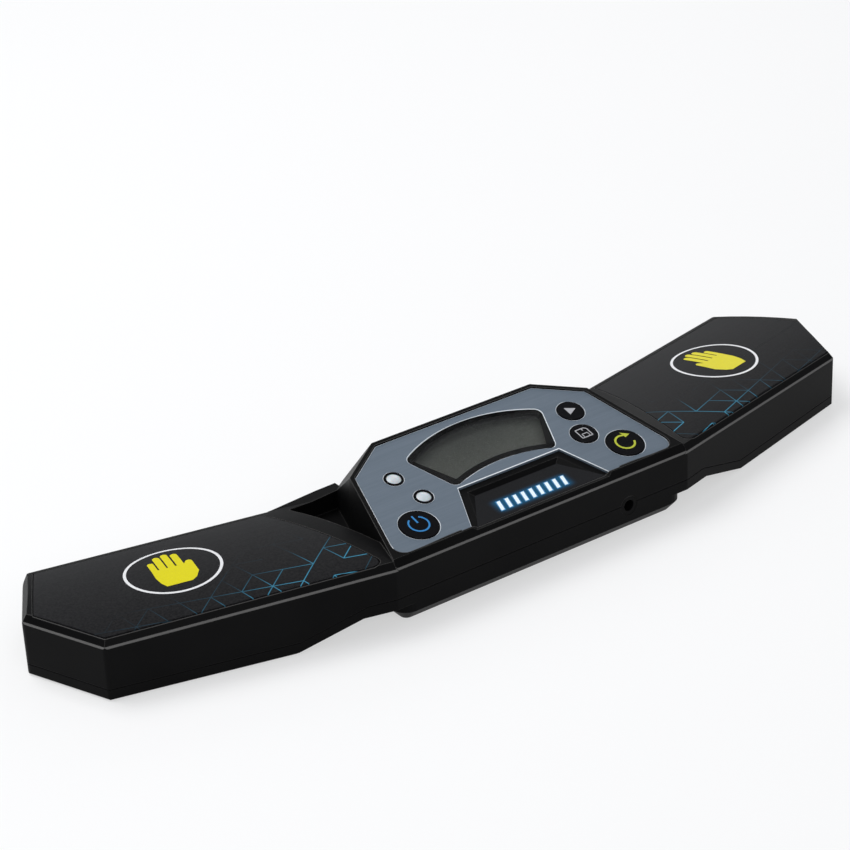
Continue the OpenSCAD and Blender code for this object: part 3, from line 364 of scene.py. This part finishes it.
def printed(name, body, faces, height, material, lift=PRINT_LIFT, mirrored=False, slices=()):
    """A thin print: flat faces in mm, cut into strips where the surface bends, laid on height(point)."""
    shape = bmesh.new()
    for outline in faces:
        shape.faces.new([shape.verts.new((p[0], p[1], 0)) for p in outline])
    bmesh.ops.remove_doubles(shape, verts=shape.verts, dist=0.001)
    for place, normal in slices:
        bmesh.ops.bisect_plane(shape, geom=shape.verts[:] + shape.edges[:] + shape.faces[:],
                               plane_co=(*place, 0), plane_no=(*normal, 0), dist=1e-5)
    bmesh.ops.recalc_face_normals(shape, faces=shape.faces)
    for face in shape.faces:
        if face.normal.z < 0:
            face.normal_flip()
    for vert in shape.verts:
        vert.co.z = height(vert.co.xy) + lift
        vert.co *= MM
        if mirrored:
            vert.co.x = -vert.co.x
    if mirrored:
        bmesh.ops.reverse_faces(shape, faces=shape.faces)
    mesh = bpy.data.meshes.new(name)
    shape.to_mesh(mesh)
    shape.free()
    mesh.materials.append(material)
    piece = bpy.data.objects.new(name, mesh)
    bpy.context.scene.collection.objects.link(piece)
    layer = piece.modifiers.new("ink", "SOLIDIFY")
    layer.thickness = PRINT_THICKNESS * MM
    layer.offset = -1
    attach(piece, body)
    return piece


def ink(name, low, high, roughness=0.45):
    """Screen-printed ink, slightly uneven."""
    material = finish(name, low, roughness, {"Specular IOR Level": 0.15})
    cover = places(material).noise(1800.0, 3.0)
    feed(material, {"Base Color": cover.tint(low, high), "Roughness": roughness - 0.08 + cover * 0.16})
    return material


def top_plane(node):
    """Height of a CAD node's largest upward face over a point, in mm."""
    faces = cad[node].data.polygons
    top = max((face for face in faces if face.normal.z > 0.8), key=lambda face: face.area)
    spot, up = top.center / MM, top.normal

    def height(point):
        return spot.z - ((point[0] - spot.x) * up.x + (point[1] - spot.y) * up.y) / up.z
    return height


def with_round_corners(points, radii, steps=5):
    """A closed outline whose corners are arcs of the given radii."""
    outline = []
    for k, (corner, radius) in enumerate(zip(points, radii)):
        if not radius:
            outline.append(Vector(corner))
            continue
        corner = Vector(corner)
        back = (Vector(points[k - 1]) - corner).normalized()
        onward = (Vector(points[(k + 1) % len(points)]) - corner).normalized()
        half = back.angle(onward) / 2
        centre = corner + (back + onward).normalized() * radius / math.sin(half)
        start = corner + back * radius / math.tan(half) - centre
        stop = corner + onward * radius / math.tan(half) - centre
        turn = start.angle_signed(stop)
        outline += [centre + Matrix.Rotation(-turn * n / steps, 2) @ start for n in range(steps + 1)]
    return outline


def window_outline(inwards):
    """The window between its two arcs, seen from above, moved inwards."""
    half_top = WINDOW_HALF_TOP - inwards
    half_low = WINDOW_HALF_LOW - inwards
    steps = WINDOW_ARC_STEPS

    def on_top_arc(x):
        return x, WINDOW_TOP_Y - WINDOW_ARC_R + math.sqrt((WINDOW_ARC_R - inwards) ** 2 - x ** 2)

    def on_low_arc(x):
        return x, WINDOW_LOW_Y - WINDOW_ARC_R + math.sqrt((WINDOW_ARC_R + inwards) ** 2 - x ** 2)

    top = [on_top_arc((half_top - WINDOW_CORNER_SPAN) * (1 - 2 * k / steps)) for k in range(steps + 1)]
    low = [on_low_arc((half_low - WINDOW_CORNER_SPAN) * (2 * k / steps - 1)) for k in range(steps + 1)]
    right_corners = [on_low_arc(half_low), on_top_arc(half_top)]
    left_corners = [on_top_arc(-half_top), on_low_arc(-half_low)]
    rounds = [WINDOW_CORNER_R - inwards] * 2
    plain = [0] * (steps + 1)
    return with_round_corners(right_corners + top + left_corners + low, rounds + plain + rounds + plain)


black_ink = ink("black_ink", (0.0035, 0.0035, 0.004), (0.006, 0.006, 0.0065))
outer, inner = window_outline(BORDER_OUTER_IN), window_outline(BORDER_INNER_IN)
border = [[outer[k - 1], outer[k], inner[k], inner[k - 1]] for k in range(len(outer))]
mark = printed("window_border", "case", border, top_plane("display_window"), black_ink, lift=0.0)

clear = finish("clear_window", (0.95, 0.97, 0.96), 0.05, {"Transmission Weight": 1.0, "IOR": 1.3})
feed(clear, {"Roughness": 0.03 + places(clear).noise(300.0, 3.0) * 0.05})
dress(["display_window"], clear)

matt_dark = finish("matt_dark_frame", (0.012, 0.012, 0.012), 0.6, {"Specular IOR Level": 0.3})
grit = places(matt_dark).noise(3000.0, 3.0)
feed(matt_dark, {"Base Color": grit.tint((0.009, 0.009, 0.009), (0.02, 0.02, 0.02)),
                 "Normal": grit.bump(0.00003, 0.3)})
dress(["display_frame"], matt_dark)

# The glass grows lighter towards the user: a painted shade darkens its rear, where the recess shadows it,
# and its tone wanders a little at random.
blank_glass = finish("blank_display_glass", (0.08, 0.085, 0.075), 0.25, {"Specular IOR Level": 0.2})
spot = places(blank_glass)
tone_and_painted_shade = spot.noise(30.0, 3.0) * 0.3 + spot.axes("Y")[0].ramp(0.004, -0.016) * 0.7
feed(blank_glass, {"Base Color": tone_and_painted_shade.tint((0.034, 0.035, 0.032), (0.105, 0.106, 0.092)),
                   "Roughness": 0.2 + spot.noise(2500.0, 2.0) * 0.15})
dress(["lcd_glass"], blank_glass)

STRIPES_PER_METRE = 5500
striped = finish("striped_connector_rubber", (0.55, 0.25, 0.28), 0.7)
stripe = places(striped).axes("X")[0] * STRIPES_PER_METRE
stripe = stripe.maths("FRACT", stripe) > 0.5
feed(striped, {"Base Color": stripe.tint((0.55, 0.25, 0.28), (0.04, 0.04, 0.04))})
dress(["lcd_connectors"], striped)

# ---- The badge panel ---------------------------------------------------------------------------
# Glossy black acrylic sheet set in the slanted slot below the display. A row of nine slanted bars lies on
# it, and the bars and a blue pool round them are a painted glow: they emit light, with no lamp behind
# them. The bars' sizes are in mm, seen from above; the painted glow fades over distances from the middle
# of the row that are in metres.
BARS = 9
BAR_PITCH = 2.9
BAR_SLANT = 1.2
BAR_THICKNESS = 0.02
BAR_ROW_Y = -29.6
PAINTED_GLOW_FADE_X = (0.0115, 0.0155)
PAINTED_GLOW_FADE_Y = (0.0016, 0.0044)
gloss_black = finish("gloss_black_acrylic", (0.004, 0.004, 0.005), 0.08,
                     {"Specular IOR Level": 0.2, "Emission Strength": 0.35})
spot = places(gloss_black)
smear = spot.noise(60.0, 4.0)
x, y = spot.axes("XY")
# A painted glow: the panel emits a blue pool of light round the row of bars, with no lamp behind it.
beside_row = abs(x).ramp(*PAINTED_GLOW_FADE_X)
over_row = abs(y - BAR_ROW_Y * MM).ramp(*PAINTED_GLOW_FADE_Y)
painted_glow = (1 - beside_row) * (1 - over_row)
feed(gloss_black, {"Roughness": 0.06 + smear * 0.08,
                   "Base Color": smear.tint((0.003, 0.003, 0.004), (0.006, 0.006, 0.007)),
                   "Emission Color": (painted_glow * painted_glow).tint((0, 0, 0), (0.0, 0.2, 0.45))})
dress(["badge_panel"], gloss_black)

bar_tree = bpy.data.node_groups.new("painted_light_bars", "GeometryNodeTree")
bar_tree.interface.new_socket("Geometry", in_out="INPUT", socket_type="NodeSocketGeometry")
bar_inputs = {}
for label, kind in (("Count", "Int"), ("Pitch", "Float"), ("Width", "Float"), ("Length", "Float"),
                    ("Slant", "Float"), ("Thickness", "Float"), ("Finish", "Material")):
    socket = bar_tree.interface.new_socket(label, in_out="INPUT", socket_type="NodeSocket" + kind)
    bar_inputs[label] = socket.identifier
bar_tree.interface.new_socket("Geometry", in_out="OUTPUT", socket_type="NodeSocketGeometry")


def bar_node(kind, settings=None, links=None):
    """A node of the bar tree with its settings, its values and its links."""
    new = bar_tree.nodes.new(kind)
    for key, value in (settings or {}).items():
        setattr(new, key, value)
    for key, value in (links or {}).items():
        if isinstance(value, bpy.types.NodeSocket):
            bar_tree.links.new(value, new.inputs[key])
        else:
            new.inputs[key].default_value = value
    return new


given = bar_node("NodeGroupInput").outputs
edge = bar_node("GeometryNodeCurvePrimitiveQuadrilateral", {"mode": "PARALLELOGRAM"},
                {"Width": given["Width"], "Height": given["Length"], "Offset": given["Slant"]})
face = bar_node("GeometryNodeFillCurve", {}, {0: edge.outputs[0]})
block = bar_node("GeometryNodeExtrudeMesh", {},
                 {"Mesh": face.outputs[0], "Offset Scale": given["Thickness"]})
pitch = bar_node("ShaderNodeCombineXYZ", {}, {"X": given["Pitch"]})
points = bar_node("GeometryNodeMeshLine", {}, {"Count": given["Count"], "Offset": pitch.outputs[0]})
bars = bar_node("GeometryNodeInstanceOnPoints", {},
                {"Points": points.outputs[0], "Instance": block.outputs[0]})
bars = bar_node("GeometryNodeRealizeInstances", {}, {0: bars.outputs[0]})
bars = bar_node("GeometryNodeSetMaterial", {}, {"Geometry": bars.outputs[0], "Material": given["Finish"]})
bar_node("NodeGroupOutput", {}, {0: bars.outputs[0]})


def painted_glow_bars(name, width, length, lift, material):
    """A row of slanted bars on the badge panel."""
    seed = bpy.data.objects.new(name + "_seed", bpy.data.meshes.new(name + "_seed"))
    bpy.context.scene.collection.objects.link(seed)
    maker = seed.modifiers.new("bars", "NODES")
    maker.node_group = bar_tree
    for label, value in (("Count", BARS), ("Pitch", BAR_PITCH), ("Width", width), ("Length", length),
                         ("Slant", BAR_SLANT), ("Thickness", BAR_THICKNESS), ("Finish", material)):
        maker[bar_inputs[label]] = value
    seed.update_tag()
    graph = bpy.context.evaluated_depsgraph_get()
    mesh = bpy.data.meshes.new_from_object(seed.evaluated_get(graph))
    bpy.data.objects.remove(seed)
    floor = top_plane("badge_panel")
    for vert in mesh.vertices:
        point = Vector((vert.co.x - BAR_PITCH * (BARS - 1) / 2, vert.co.y + BAR_ROW_Y))
        vert.co = Vector((*point, floor(point) + lift + vert.co.z)) * MM
    shape = bmesh.new()
    shape.from_mesh(mesh)
    bmesh.ops.remove_doubles(shape, verts=shape.verts, dist=1e-7)
    bmesh.ops.recalc_face_normals(shape, faces=shape.faces)
    shape.to_mesh(mesh)
    shape.free()
    piece = bpy.data.objects.new(name, mesh)
    bpy.context.scene.collection.objects.link(piece)
    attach(piece, "case")


# The bars and the blue pool under them emit light: a painted glow, with no lamp behind them.
blue_painted_glow = finish("painted_blue_glow", (0.0, 0.05, 0.12), 0.4,
                   {"Emission Color": (0.0, 0.35, 0.8, 1), "Emission Strength": 0.35})
feed(blue_painted_glow, {"Roughness": 0.35 + places(blue_painted_glow).noise(700.0) * 0.1})
white_with_painted_glow = speckled("white_with_painted_glow", (0.5, 0.56, 0.6), 0.4, 500.0, (0.46, 0.52, 0.56), (0.56, 0.6, 0.63),
                     {"Emission Color": (0.75, 0.93, 1.0, 1), "Emission Strength": 0.35})
painted_glow_bars("badge_painted_glow", width=1.7, length=4.6, lift=0.0, material=blue_painted_glow)
painted_glow_bars("badge_bars", width=1.15, length=4.0, lift=0.03, material=white_with_painted_glow)

# ---- The touch pads ----------------------------------------------------------------------------
# Charcoal film with a fine grain on a hard plastic pad, which lies in a recess of each crowned wing.
# The film is printed with thin fading lines. Sizes are in mm, for the right wing seen from above.
WING_SWEEP = math.radians(14.4)
SWEEP_COS = 0.9686
SWEEP_SIN = 0.2487
WING_BEND = Vector((53.2, -36.1))
WING_FALL = math.radians(1.6)
BEND_HEIGHT = 21.7
CREST_IN = 14.6
CROWN_R = 156
pad_film = finish("charcoal_film", (0.018, 0.018, 0.02), 0.55, {"Specular IOR Level": 0.06})
spot = places(pad_film)
x, y = spot.axes("XY")
x = abs(x) * 1000 - WING_BEND.x
y = y * 1000 - WING_BEND.y
along = x * SWEEP_COS + y * SWEEP_SIN
across = y * SWEEP_COS - x * SWEEP_SIN
patches = spot.noise(75.0, 2.0)
# The lines show near the front edge and are brightest there, and the film is lighter to the rear: a painted
# sheen of the light from behind on the crowned pad.
near_front = (across + along * 0.3).ramp(42.0, 12.0)
bright_end = (across + along * 0.5).ramp(36.0, 10.0)
ROW = 7.4
SIDE = ROW / math.cos(math.radians(30))
lines = 0.0
for turn in (8, 68, 128):
    # Strokes lie on the rows of a triangular grid, each one side long, and some are left out.
    way = math.radians(turn)
    over = along * math.cos(way) + across * math.sin(way)
    aside = across * math.cos(way) - along * math.sin(way)
    row = (aside / ROW + 0.5).floor()
    part = (over / SIDE + row * 0.5).floor()
    off_row = abs(aside - row * ROW)
    pick = {"W": row * 3.7 + part * 7.3 + turn}
    luck = row.add("ShaderNodeTexWhiteNoise", {"noise_dimensions": "1D"}, pick, "Value")
    lines = off_row.ramp(0.2, 0.08) * luck.ramp(0.36, 0.5) + lines
lines = lines.clamp() * near_front * (patches + near_front * 0.6).ramp(0.45, 0.85)
grit = spot.noise(1500.0, 3.0, 0.65)
# Painted sheen: the charcoal grows lighter towards the rear of the pad.
painted_rear_sheen = (across / 50).clamp()
charcoal_and_painted_sheen = (grit.ramp(0.3, 0.7) * 0.4 + painted_rear_sheen * 0.6).tint((0.003, 0.003, 0.004), (0.028, 0.028, 0.029))
blue = bright_end.tint((0.014, 0.04, 0.06), (0.05, 0.27, 0.42))
feed(pad_film, {"Base Color": lines.tint(charcoal_and_painted_sheen, blue),
                "Roughness": 0.45 + grit * 0.25, "Normal": grit.bump(0.00005, 0.4)})
for side in ("left", "right"):
    rounded_copy(side + "_pad", "case", side + "_touch_pad", SOFT_EDGE, [pad_film])

# ---- The prints on the pads ----------------------------------------------------------------------
# A white ring and a yellow open hand are screen-printed where each palm rests. They follow the
# crowned pad, so the hand is cut into strips of a millimetre.
RING_MIDDLE = Vector((100.1, 3.9))
RING_OUTER_R = 13.9
RING_INNER_R = 13.05
wing_along = Vector((math.cos(WING_SWEEP), math.sin(WING_SWEEP)))
wing_across = Vector((-math.sin(WING_SWEEP), math.cos(WING_SWEEP)))


def pad_height(point):
    """Height of the crowned wing top over a point of the right wing, in mm."""
    along = (point - WING_BEND).dot(wing_along)
    off_crest = (point - WING_BEND).dot(wing_across) - CREST_IN
    below_crest = CROWN_R - math.sqrt(CROWN_R ** 2 - off_crest ** 2)
    return BEND_HEIGHT - math.tan(WING_FALL) * along - below_crest / math.cos(WING_FALL)


def wing_spot(u, v):
    """A point given along and across the wing from the middle of the ring."""
    return RING_MIDDLE + wing_along * u + wing_across * v


def arc(centre, radius, start, stop, steps):
    """Points of an arc, anticlockwise where stop is the larger, angles in degrees."""
    turns = [math.radians(start + (stop - start) * k / steps) for k in range(steps + 1)]
    return [Vector((centre[0] + radius * math.cos(t), centre[1] + radius * math.sin(t))) for t in turns]


def band(outer, inner, start=0, stop=360, steps=96):
    """The quads of a ring about 0, 0, or of part of one."""
    far = arc((0, 0), outer, start, stop, steps)
    near = arc((0, 0), inner, start, stop, steps)
    return [[near[k], far[k], far[k + 1], near[k + 1]] for k in range(steps)]


def hand_outline():
    """An open hand with straight fingers: u, v in mm from the ring's centre, thumb inwards."""
    fingers = [(4.85, 0.9, 7.0), (2.45, 1.02, 10.1), (-0.05, 1.0, 10.9), (-2.6, 1.02, 9.7)]
    finger_root = 1.5
    points = []
    for middle, half, tip in fingers:
        points.append(Vector((middle + half, finger_root)))
        points += arc((middle, tip - half), half, 0, 180, 8)
        points.append(Vector((middle - half, finger_root)))
    points += arc((-5.2, 2.4), 0.95, 20, 180, 7)
    points += [Vector((-6.15, -4.4)), Vector((-4.6, -7.6)), Vector((-3.0, -9.0)), Vector((4.3, -9.0))]
    points += [Vector((5.3, -6.6)), Vector((5.85, -3.4))]
    return points


white_ink = ink("white_ink", (0.66, 0.66, 0.68), (0.82, 0.82, 0.83))
yellow_ink = ink("yellow_ink", (0.6, 0.53, 0.001), (0.72, 0.65, 0.003))
ring = [[wing_spot(*p) for p in quad] for quad in band(RING_OUTER_R, RING_INNER_R)]
hand = [[wing_spot(*p) for p in hand_outline()]]
strips = [(wing_spot(0, v), wing_across) for v in range(-14, 15)]
for mirrored, side in ((False, "right"), (True, "left")):
    mark = printed(side + "_ring_print", "case", ring, pad_height, white_ink, mirrored=mirrored)
    mark = printed(side + "_hand_print", "case", hand, pad_height, yellow_ink, mirrored=mirrored,
                   slices=strips)

# ---- The sensor sheets ---------------------------------------------------------------------------
# Thin copper sheets under the two touch pads, on the inside of the upper shell. They feel the palms
# through the plastic.
copper = finish("copper_sheet", (0.72, 0.36, 0.2), 0.35, {"Metallic": 1.0})
spot = places(copper)
feed(copper, {"Base Color": spot.noise(80.0, 4.0).tint((0.62, 0.28, 0.15), (0.78, 0.42, 0.26)),
              "Roughness": 0.25 + spot.noise(400.0) * 0.25})
dress(["left_sensor", "right_sensor"], copper)

# ---- The buttons -------------------------------------------------------------------------------
# Four moulded caps of glossy black plastic, each resting on a key switch and moving in a hole of the
# console plate. Each cap has a printed symbol, drawn flat in mm and laid on the tilted cap.
TILT_COS = 0.967
cap_black = finish("gloss_black_cap", (0.004, 0.004, 0.005), 0.2, {"Specular IOR Level": 0.06})
spot = places(cap_black)
feed(cap_black, {"Roughness": 0.16 + spot.noise(500.0, 3.0) * 0.12,
                 "Base Color": spot.noise(200.0).tint((0.002, 0.002, 0.003), (0.005, 0.005, 0.006))})
dress(["power_button", "reset_button", "mode_button", "save_button"], cap_black)


def bar(start, stop, width):
    """A straight stroke as one quad."""
    start, stop = Vector(start), Vector(stop)
    side = (stop - start).normalized().orthogonal() * width / 2
    return [start + side, start - side, stop - side, stop + side]


def strokes(width, *ends):
    """Straight strokes of one width, each given by its two ends."""
    return [bar(start, stop, width) for start, stop in ends]


def symbol(name, button, centre, faces, material):
    """Prints faces, drawn about 0, 0, on a cap whose middle is centre."""
    x, y = centre
    placed = [[Vector((x + p[0], y + p[1] * TILT_COS)) for p in outline] for outline in faces]
    mark = printed(name, button.replace("_button", "_key"), placed, top_plane(button), material)


cyan_ink = ink("cyan_blue_ink", (0.02, 0.16, 0.42), (0.05, 0.26, 0.58), 0.3)
lime_ink = ink("lime_ink", (0.4, 0.44, 0.03), (0.5, 0.54, 0.06), 0.3)
grey_ink = ink("pale_ink", (0.36, 0.36, 0.38), (0.46, 0.46, 0.48), 0.3)
open_ring = band(3.25, 2.72, 122, 418, 40)
symbol("power_symbol", "power_button", (-37.7, -26.1),
       open_ring + strokes(0.55, ((0, 0.5), (0, 3.6))), cyan_ink)
turning_ring = band(3.25, 2.6, 62, 345, 40)
arrow_head = [(1.1, 4.1), (1.5, 1.6), (3.5, 2.3)]
symbol("reset_symbol", "reset_button", (37.7, -26.1), turning_ring + [arrow_head], lime_ink)
triangle = [(-1.3, -1.7), (1.9, 0), (-1.3, 1.7)]
symbol("mode_symbol", "mode_button", (32.5, -7.2), [triangle], grey_ink)
disk_edge = strokes(0.35, ((-1.9, -1.9), (1.9, -1.9)), ((-1.9, 1.9), (1.2, 1.9)),
                    ((-1.9, -1.9), (-1.9, 1.9)), ((1.9, -1.9), (1.9, 1.2)), ((1.2, 1.9), (1.9, 1.2)))
disk_label = strokes(0.28, ((-1.0, -1.8), (-1.0, -0.3)), ((-1.0, -0.3), (1.0, -0.3)),
                     ((1.0, -0.3), (1.0, -1.8)))
disk_notch = strokes(0.35, ((0.3, 1.0), (0.3, 1.7)))
symbol("save_symbol", "save_button", (29.4, -17.2), disk_edge + disk_label + disk_notch, grey_ink)

# ---- The lamps ---------------------------------------------------------------------------------
# Two milky moulded lenses in glossy black rings, pressed into the console plate. Each sits over a
# lamp on the board.
milky = speckled("milky_lens", (0.56, 0.6, 0.63), 0.35, 900.0, (0.5, 0.545, 0.58), (0.62, 0.66, 0.69),
                 {"Subsurface Weight": 0.2, "Subsurface Scale": 0.001})
dress(["lamp_lenses", "lamp_leds"], milky)
dress(["lamp_rings"], cap_black)

# ---- The boards and what is on them --------------------------------------------------------------
# Glass-fibre boards with a green solder mask: the main one under the console plate and a small one
# for the data socket. The chip, the buzzer and the key switches are soldered to the main one.
board_green = speckled("green_solder_mask", (0.01, 0.09, 0.035), 0.35, 700.0,
                       (0.008, 0.07, 0.028), (0.02, 0.13, 0.05))
dress(["main_board", "jack_board"], board_green)
dress(["controller_chip", "buzzer", "key_switches"], matt_dark)

# ---- The data socket -----------------------------------------------------------------------------
# A black moulded 3.5 mm socket. Its collar stands in a hole of the front wall, and its body rests on
# the small board.
dress(["data_jack"], satin_black("satin_black_socket", 3400.0))


# ---- The board screws and the battery contacts -----------------------------------------------------
# Plated steel: four screws that hold the main board, and a pressed contact with its spring at either
# end of the battery bay.
def bare_metal(name, colour, roughness, metallic):
    """Metal that is dull in some places and bright in others."""
    material = finish(name, colour, roughness, {"Metallic": metallic})
    feed(material, {"Roughness": roughness - 0.08 + places(material).noise(900.0, 3.0) * 0.2})
    return material


steel = bare_metal("plated_steel", (0.6, 0.6, 0.62), 0.3, 1.0)
dress(["board_screws", "battery_contacts"], steel)

# ---- The leads -----------------------------------------------------------------------------------
# Insulated wires soldered to the board: red ones from the sensor sheets and black ones from the
# battery contacts.
red_lead = speckled("red_insulation", (0.5, 0.02, 0.02), 0.45, 300.0,
                    (0.42, 0.015, 0.015), (0.56, 0.03, 0.03))
dress(["left_sensor_lead", "right_sensor_lead"], red_lead)
black_lead = speckled("black_insulation", (0.02, 0.02, 0.02), 0.45, 300.0,
                      (0.015, 0.015, 0.015), (0.03, 0.03, 0.03))
dress(["battery_leads"], black_lead)

# ---- The cells -----------------------------------------------------------------------------------
# Two cells in a plain blue plastic sleeve, side by side in the battery bay. The battery cover holds
# them in from below.
sleeve = speckled("cell_sleeve", (0.03, 0.09, 0.3), 0.3, 200.0, (0.025, 0.08, 0.27), (0.04, 0.11, 0.34))
dress(["cells"], sleeve)

# ---- The feet ------------------------------------------------------------------------------------
# Eight discs of soft black rubber, set in shallow pockets of the underside. They keep the timer from
# sliding.
rubber = finish("foot_rubber", (0.02, 0.02, 0.02), 0.85)
grit = places(rubber).noise(1500.0, 3.0)
feed(rubber, {"Base Color": grit.tint((0.015, 0.015, 0.015), (0.03, 0.03, 0.03)),
              "Normal": grit.bump(0.00006, 0.4)})
dress(["rubber_feet"], rubber)

# ---- The case screws -----------------------------------------------------------------------------
# Ten screws of blackened steel. They go up through wells of the lower shell into the bosses of the
# upper one.
dark_steel = bare_metal("blackened_steel", (0.05, 0.05, 0.052), 0.4, 0.9)
dress(["case_screws"], dark_steel)
